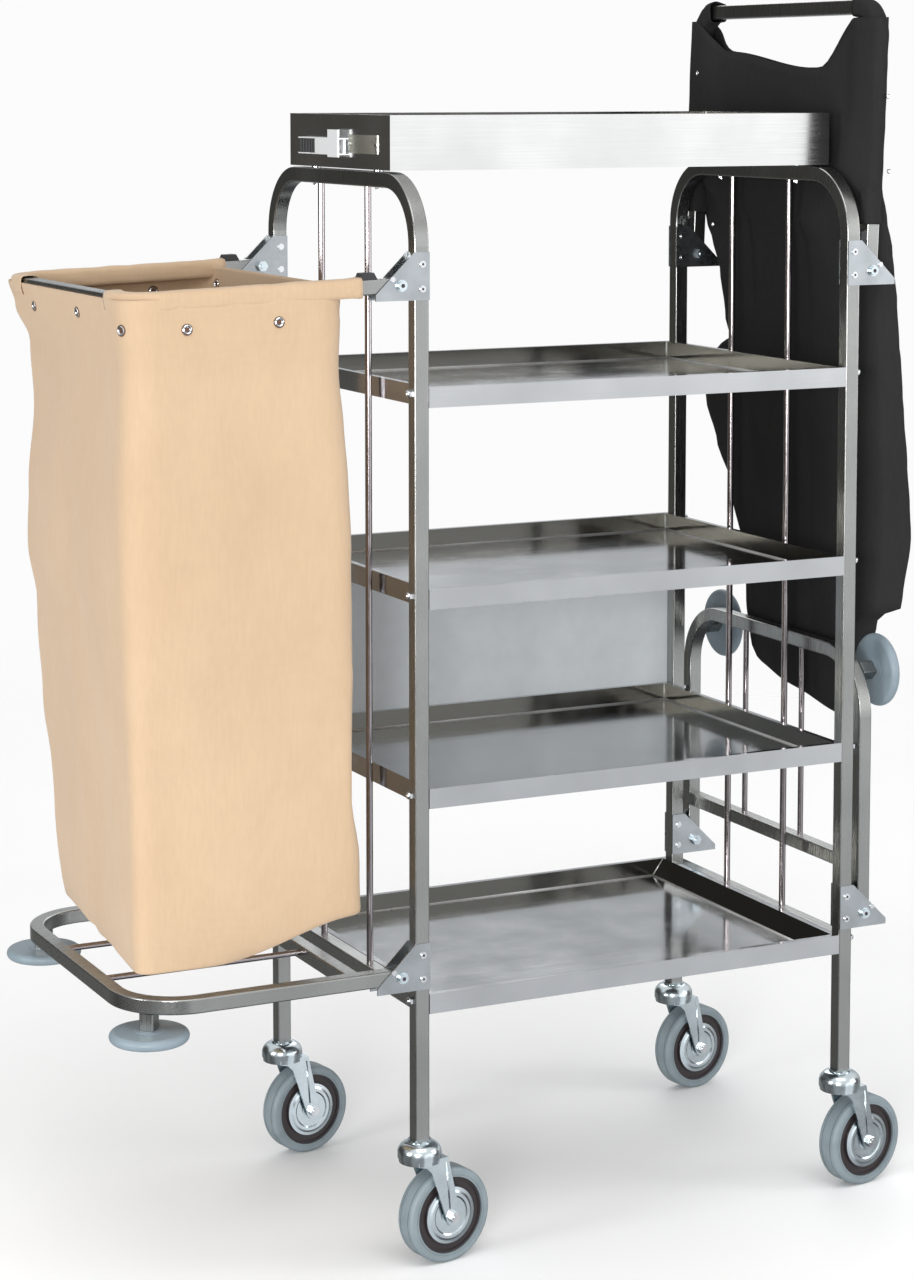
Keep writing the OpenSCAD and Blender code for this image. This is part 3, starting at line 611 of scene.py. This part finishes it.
# The open bag's sides at rising heights: (height, place)
BEIGE_RIGHT = [(430, -392), (471, -388), (744, -400), (923, -411), (1196, -421), (1260, -421)]
BEIGE_LEFT = [(430, -690), (600, -697), (835, -703), (990, -707), (1180, -706), (1240, -711), (1272, -713)]
BEIGE_BACK_LEFT = [
    (430, -652), (579, -662), (705, -672), (835, -677), (908, -690),
    (990, -688), (1101, -678), (1180, -684), (1240, -704), (1272, -712),
]
BEIGE_FRONT = [(430, -203), (600, -214), (900, -222), (1150, -229), (1240, -237), (1272, -238)]
BEIGE_BACK = [(430, 195), (700, 208), (1000, 216), (1150, 226), (1240, 236), (1272, 238)]


def beige_outline(z):
    """The open bag's outline at a height: corners from the front left, going round to the right and back."""
    sides = (BEIGE_RIGHT, BEIGE_LEFT, BEIGE_BACK_LEFT, BEIGE_FRONT, BEIGE_BACK)
    right, left, back_left, front, back = (through(stations, z)[0] for stations in sides)
    return [(left, front), (right, front), (right + 4, back), (back_left, back)]


def droop_of(x):
    """How far the open hoop has dropped below its pivots at this distance out."""
    return math.tan(DROOP) * (-x - PIVOT_X)


def beige_foot(x, y):
    """The height of the bag's bottom edge: lowest at the front left, rising to the front right."""
    along = (x + 690) / 300
    rise = smooth_step((along - 0.35) / 0.65)
    if y < 0:
        return 425 + 42 * rise
    return 425 + 42 * rise * 0.4 + (6 if y > 0 else 0)


# A folded platform's discs: the height of their middle, and how near the trolley they leave room for the cloth
DISC_LOW, DISC_HIGH = node_box("bumper_rf")
DISC_Z = (DISC_LOW.z + DISC_HIGH.z) / 2
DISC_LIMIT = -node_box("bumper_bolts_right")[1].x - 5


def room_for_discs(q, level):
    """Keeps the inner panel clear of the platform's discs when the platform is folded up beside it."""
    near = smooth_step((150 - abs(level - DISC_Z)) / 75) * smooth_step((abs(q.y) - 105) / 40)
    return Vector((min(q.x, lerp(q.x, DISC_LIMIT, near)), q.y))


def beige_body(cloth):
    """The hanging part of the open bag, a lofted shell with slack panels and a sagging bottom."""
    top, foot, rows = UPPER_Z + 4.0, 432.0, 72
    rings = []
    for r in range(rows + 1):
        depth = r / rows
        level = lerp(top, foot, depth ** 1.25)
        radius = lerp(40, 22, depth)
        ring = []
        flat = rounded_ring(beige_outline(level), radius)
        middle = sum(flat, Vector((0, 0))) / len(flat)
        for p in flat:
            out = (p - middle).normalized()
            calm = smooth_step((top - level - 20) / 150)
            fold = 5.0 * soft(p.x, p.y * 0.9, level * 0.45, 110) + 2.2 * soft(p.x + 90, p.y, level * 0.8, 46)
            belly = 7.0 * math.sin(math.pi * depth) ** 2
            hem = -1.6 * math.exp(-((level - UPPER_Z + 30) / 5) ** 2)
            q = p + out * (fold * calm + belly * calm + hem)
            q = room_for_discs(q, level)
            z = level
            if depth > 0.8:
                z = lerp(level, beige_foot(q.x, q.y), smooth_step((depth - 0.8) / 0.2))
            z -= droop_of(q.x) * smooth_step(1 - depth * 4)
            ring.append(Vector((q.x, q.y, z)))
        rings.append(ring)
    last = rings[-1]
    middle = sum(last, Vector()) / len(last)
    for shrink, drop in ((0.93, -5), (0.8, -8), (0.55, -8), (0.3, -7), (0.1, -6)):
        rings.append([middle + (p - middle) * shrink + Vector((0, 0, drop)) for p in last])
    points, faces = capped_shell(rings)
    obj = add_object("beige_bag", mesh_of("beige_bag", points, faces), cloth, "bag_hoop_left")
    thicken(obj, 1.4)
    return obj


def hoop_path(side, start, until):
    """Points along one half of the open left hoop's middle line, from near its pivot to its end bar."""
    inner = BEND - ARM / 2
    path = []
    x = start
    while x < REACH - BEND:
        path.append((x, ARM_Y, (1, 0)))
        x += PATH_STEP
    centre = (REACH - BEND, ARM_Y - inner)
    for k in range(13):
        a = math.pi / 2 * (1 - k / 12)
        u, v = centre[0] + inner * math.cos(a), centre[1] + inner * math.sin(a)
        path.append((u, v, (math.sin(a), -math.cos(a))))
    y = centre[1] - PATH_STEP
    while y > until:
        path.append((REACH - ARM / 2, y, (0, -1)))
        y -= PATH_STEP
    return [(u, side * v, (tu, side * tv)) for u, v, (tu, tv) in path]


def sleeve_mesh(name, path, place, puff, seed):
    """A cloth sleeve round a square tube along a path; place() puts a local point in the main frame."""
    points = []
    for i, (u, v, (tu, tv)) in enumerate(path):
        across = (-tv, tu)
        ease = 1 + 0.10 * math.exp(-min(i, len(path) - 1 - i) / 1.5)
        for c in range(SLEEVE_COLUMNS):
            a = math.tau * c / SLEEVE_COLUMNS
            square = SLEEVE_HALF / max(abs(math.cos(a)), abs(math.sin(a)))
            r = lerp(square, SLEEVE_HALF * 1.15, SLEEVE_ROUND) * ease
            r += puff * (0.5 + 0.5 * soft(u + seed, v + 25 * math.cos(a), 25 * math.sin(a), 24))
            side, up = r * math.cos(a), r * math.sin(a)
            points.append(at(*place(u + across[0] * side, v + across[1] * side, up)))
    return mesh_of(name, points, grid_faces(len(path), SLEEVE_COLUMNS))


def left_place(u, v, w):
    """A point of the open hoop: u outboard from its pivots, v to the back, w above its middle line."""
    out = PIVOT_X + u * math.cos(DROOP) + w * math.sin(DROOP)
    return (-out, v, UPPER_Z - u * math.sin(DROOP) + w * math.cos(DROOP))


def right_place(u, v, w):
    """A point of the folded hoop: u up from its pivots, w towards the trolley."""
    out = PIVOT_X + u * math.sin(DROOP) - w * math.cos(DROOP)
    return (out, v, UPPER_Z + u * math.cos(DROOP) + w * math.sin(DROOP))


def beige_sleeves(cloth):
    """The cloth round the open hoop's arms, which leaves the middle of its end bar bare."""
    for side_name, side, until in (("front", -1, 168.0), ("back", 1, 148.0)):
        name = "beige_sleeve_" + side_name
        mesh = sleeve_mesh(name, hoop_path(side, 53.0, until), left_place, 1.8, 40)
        obj = add_object(name, mesh, cloth, "bag_hoop_left")
        thicken(obj, 1.0, inward=False)


# Press studs as profiles of (radius, height): the plated ring and the dark disc behind it
STUD_RING = [(0.1, 0.0), (6.0, 0.0), (6.2, 0.7), (5.9, 1.6), (4.9, 2.1), (3.9, 1.5), (3.3, 0.7), (0.1, 0.5)]
STUD_BACK = [(0.1, -0.4), (7.0, -0.4), (7.2, 0.2), (6.9, 0.6), (6.1, 0.7), (0.1, 0.7)]


def on_cloth(body, start, towards):
    """The point and outward direction where a line between two places first meets the cloth."""
    source = at(*start)
    ray = (at(*towards) - source).normalized()
    hit, point, normal, _ = body.ray_cast(source, ray)
    if normal.dot(ray) > 0:
        normal = -normal
    spot = (point - MIDDLE) / MM + normal * 0.3
    return tuple(spot), tuple(normal)


def beige_studs(finish, body):
    """The press studs under the open bag's hem, set where lines towards it meet the cloth."""
    high, low = UPPER_Z - 45, UPPER_Z - 22
    out, mid = -(PIVOT_X + REACH), -(PIVOT_X + REACH * 0.55)
    places = [
        on_cloth(body, (out - 120, -330, high), (out + 30, -190, high)),
        on_cloth(body, (-633, -400, high), (-633, 0, high)),
        on_cloth(body, (-513, -400, high + 5), (-513, 0, high + 5)),
        on_cloth(body, (out - 200, -60, high + 12), (mid, -60, high + 12)),
        on_cloth(body, (out - 200, 120, high + 8), (mid, 120, high + 8)),
        on_cloth(body, (-500, 0, low - 9), (-500, 400, low - 9)),
        on_cloth(body, (mid, 190, low), (-300, 222, low)),
        on_cloth(body, (-300, -170, high - 12), (mid, -170, high - 12)),
        on_cloth(body, (-300, 60, high - 8), (mid, 60, high - 8)),
        on_cloth(body, (-620, 400, high), (-620, 0, high)),
        on_cloth(body, (-480, 400, high), (-480, 0, high)),
    ]
    body_name = "bag_hoop_left"
    rings = turned_copies("beige_stud_rings", STUD_RING, places, finish["stud"], body_name)
    backs = turned_copies("beige_stud_backs", STUD_BACK, places, finish["brown"], body_name)
    return rings, backs


def make_beige_bag(finish):
    """The open bag with its studs, riding on the left hoop."""
    cloth = woven("beige_canvas", (0.555, 0.405, 0.268), (0.515, 0.368, 0.238))
    body = beige_body(cloth)
    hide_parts("bag_left")
    beige_sleeves(cloth)
    for piece in (body, *beige_studs(finish, body)):
        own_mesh(piece)


# ---------------------------------------------------------------- folded black bag


def lean_x(z):
    """How far out the folded hoop's middle line is at a height."""
    return PIVOT_X + math.tan(DROOP) * (z - UPPER_Z)


# The hanging black bag at rising heights: (height, inner face, outer face, front edge, back edge)
BLACK_STATIONS = [
    (636, 384, 424, -118, 118), (660, 380, 428, -132, 132), (720, 378, 432, -141, 141),
    (772, 376, 440, -146, 142), (800, 374, 450, -198, 154), (889, 371, 458, -208, 192),
    (931, 370, 454, -210, 226), (988, 369, 448, -210, 254), (1047, 367, 442, -210, 266),
    (1080, 366, 438, -209, 208), (1113, 366, 434, -209, 174), (1141, 366, 430, -208, 188),
    (1199, 364, 424, -208, 206), (1228, 362, 418, -208, 220), (1262, 360, 412, -209, 236),
    (1300, 354, 396, -216, 240),
]
BLACK_STATIONS += [(z, lean_x(z) - 15.5, lean_x(z) + 15.5, -242, 246) for z in (1345, 1458, 1560)]


def black_top(y):
    """The bag's top edge: low in the middle of the hand gap, higher to the back, rising at both arms."""
    dip = lerp(1539, 1563, smooth_step((y + 60) / 220))
    front = 66 * smooth_step((-y - 96) / 92)
    back = 44 * smooth_step((y - 146) / 84)
    return dip + front + back


def black_body(cloth):
    """The collapsed bag: a flat envelope round the hoop's arms that bellies out below and ends in a tuck."""
    rows, across = 70, 56
    rings = []
    for r in range(rows + 1):
        depth = r / rows
        ring = []
        for side in (1, -1):
            for c in range(across):
                t = c / across
                y_share = side * math.cos(math.pi * t)
                level = lerp(1552, 640, depth)
                inner, outer, front, back = through(BLACK_STATIONS, level)
                y = lerp(front, back, (1 - y_share) / 2)
                bulge = math.sqrt(max(0.0, 1 - y_share ** 2)) ** 0.32
                slim = smooth_step((level - 1330) / 90) * 0.66 * smooth_step((205 - abs(y)) / 40)
                middle = (inner + outer) / 2
                x = middle + side * (outer - middle) * bulge * (1 - slim)
                top = black_top(y)
                foot = 640 + 0.17 * (y + 120)
                z = lerp(top, foot, depth)
                loose = smooth_step((1400 - level) / 250)
                pleat = math.sin(y / 23 + 1.6 * soft(y, 0, level, 160)) * smooth_step((1350 - level) / 300)
                x += side * bulge * (4.0 * loose * soft(y, side * 60, level * 0.5, 60) + 2.2 * pleat)
                y += 4.0 * loose * soft(level, y, 7 * side, 90)
                ring.append(Vector((x, y, z)))
        rings.append(ring)
    last = rings[-1]
    middle = sum(last, Vector()) / len(last)
    for shrink, drop in ((0.9, -4), (0.6, -6), (0.2, -6)):
        ring = []
        for p in last:
            away = p - middle
            ring.append(middle + Vector((away.x * shrink, away.y * (0.5 + shrink / 2), away.z + drop)))
        rings.append(ring)
    points, faces = capped_shell(rings)
    obj = add_object("black_bag", mesh_of("black_bag", points, faces), cloth, None)
    thicken(obj, 1.4)
    return obj


def black_sleeves(cloth):
    """The cloth round the folded hoop's arms, fuller at the back."""
    for side_name, side, until, puff in (("front", -1, 176.0, 1.5), ("back", 1, 196.0, 5.0)):
        name = "black_sleeve_" + side_name
        mesh = sleeve_mesh(name, hoop_path(side, 62.0, until), right_place, puff, 300)
        obj = add_object(name, mesh, cloth, "bag_hoop_right")
        thicken(obj, 1.0, inward=False)


def black_studs(finish):
    """The small press studs on the folded bag's inner face and front edge."""
    x = lean_x(1480) - 14
    places = [
        ((x, 214, 1532), (-1, 0, 0)), ((x + 4, 150, 1352), (-1, 0, 0)), ((x + 6, 176, 1312), (-1, 0, 0)),
        ((x + 22, -246, 1500), (0.2, -1, 0)), ((x + 25, -246, 1400), (0.3, -1, 0)),
    ]
    small = [(r * 0.55, h * 0.8) for r, h in STUD_RING]
    turned_copies("black_studs", small, places, finish["stud"], "bag_hoop_right")


def make_black_bag(finish):
    """The empty bag, whose top follows the hoop while its lower part hangs."""
    cloth = woven("black_canvas", (0.023, 0.023, 0.023), (0.028, 0.028, 0.028), rough=0.95, sheen=0.0)
    body = black_body(cloth)
    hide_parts("bag_right")
    black_sleeves(cloth)
    black_studs(finish)
    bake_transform(body)


# ---------------------------------------------------------------- small metal details


def make_rivet_hole_shade(finish):
    """Painted shade: dark discs on the blind rivets and the pivot bolts that stand in for their shaded mandrel
    holes and sockets.
    """
    outer = END_Y + 2.0
    rivets, sockets = [], []
    for s in (-1, 1):
        for y in (-1, 1):
            for z in (UPPER_Z, LOWER_Z):
                for up in (26, -5):
                    rivets.append(((s * (END_X - TUBE / 2), y * (outer + 1.5), z + up), (0, y, 0)))
                sockets.append(((s * PIVOT_X, y * (outer + 4.6), z), (0, y, 0)))
    hole = [(0.1, 0.0), (1.7, 0.0), (1.6, 0.45), (0.1, 0.35)]
    socket = [(0.1, 0.0), (2.9, 0.0), (2.8, 0.55), (0.1, 0.45)]
    turned_copies("rivet_hole_shade", hole, rivets, finish["core"], "trolley", 16)
    turned_copies("pivot_socket_shade", socket, sockets, finish["core"], "trolley", 6)


def strip(points, faces, a, b, sides):
    """A thin bar of the given cross-section from a to b; sides are offsets in millimetres."""
    start = len(points)
    for end in (a, b):
        points += [at(*(Vector(end) + Vector(o))) for o in sides]
    n = len(sides)
    faces += [(start + k, start + (k + 1) % n, start + n + (k + 1) % n, start + n + k) for k in range(n)]
    faces += [tuple(start + k for k in reversed(range(n))), tuple(start + n + k for k in range(n))]


def fillet(towards_x, towards_y, towards_z, r):
    """The corner cross-section of a bend of radius r that fills the corner its arguments point out of."""
    across = [Vector((towards_x, 0, 0)), Vector((0, towards_y, 0)), Vector((0, 0, towards_z))]
    a, b = [v for v in across if v.length]
    ring = [Vector((0, 0, 0))]
    for k in range(6):
        t = math.pi / 2 * k / 5
        ring.append(a * r * (1 - math.sin(t)) + b * r * (1 - math.cos(t)))
    return ring


def make_bend_lines(finish):
    """The bend radii inside the shelves and the tray: real bends of the sheet, drawn in a paler, more matt
    metal than the sheet itself as a painted highlight, so they show as thin bright lines where wall meets
    floor.
    """
    rims = {"shelf_1": (8, 0), "shelf_2": (8, 0), "shelf_3": (8, 0), "shelf_4": (8, 18), "top_tray": (5, 0)}
    for name, (rim, lean) in rims.items():
        low, high = node_box(name)
        r = 2.2
        head_x, y, z, top = high.x - rim, high.y - rim, low.z + 1.5, high.z - 0.5
        x = head_x - lean
        points, faces = [], []
        for s in (-1, 1):
            strip(points, faces, (-x, s * y, z), (x, s * y, z), fillet(0, -s, 1, r))
            strip(points, faces, (s * x, -y, z), (s * x, y, z), fillet(-s, 0, 1, r))
            for t in (-1, 1):
                corner = fillet(-s, -t, 0, r * 0.7)
                strip(points, faces, (s * x, t * y, z), (s * head_x, t * y, top), corner)
        mesh = mesh_of(name + "_bends", points, faces)
        add_object(name + "_bends", mesh, finish["bend"], "trolley")


def make_fork_folds(finish):
    """The raised fold down each castor leg."""
    for sx, side_x in (("l", -1), ("r", 1)):
        for sy, side_y in (("f", -1), ("b", 1)):
            key = sy + sx
            fork_top = node_box("fork_" + key)[1].z
            turn = Matrix.Rotation(math.radians(10), 3, "Z")
            post = Vector((side_x * (END_X - TUBE / 2), side_y * ARM_Y, 0))
            points, faces = [], []
            for leg in (-1, 1):
                foot = post + turn @ Vector((32.5, leg * LEG_OUT, AXLE_Z + 12))
                head = post + turn @ Vector((27.0, leg * LEG_OUT, fork_top - 7))
                ring = [turn @ Vector((1.3 * math.cos(a), leg * 0.9 * math.sin(a), 0))
                        for a in (k * math.pi / 6 for k in range(7))]
                strip(points, faces, foot, head, ring)
            mesh = mesh_of("fork_fold_" + key, points, faces)
            add_object("fork_fold_" + key, mesh, finish["zinc"], "castor_" + key)


make_camera()
make_floor()
make_world()
make_lights()
finishes = dress_cad()
make_beige_bag(finishes)
make_black_bag(finishes)
make_rivet_hole_shade(finishes)
make_bend_lines(finishes)
make_fork_folds(finishes)
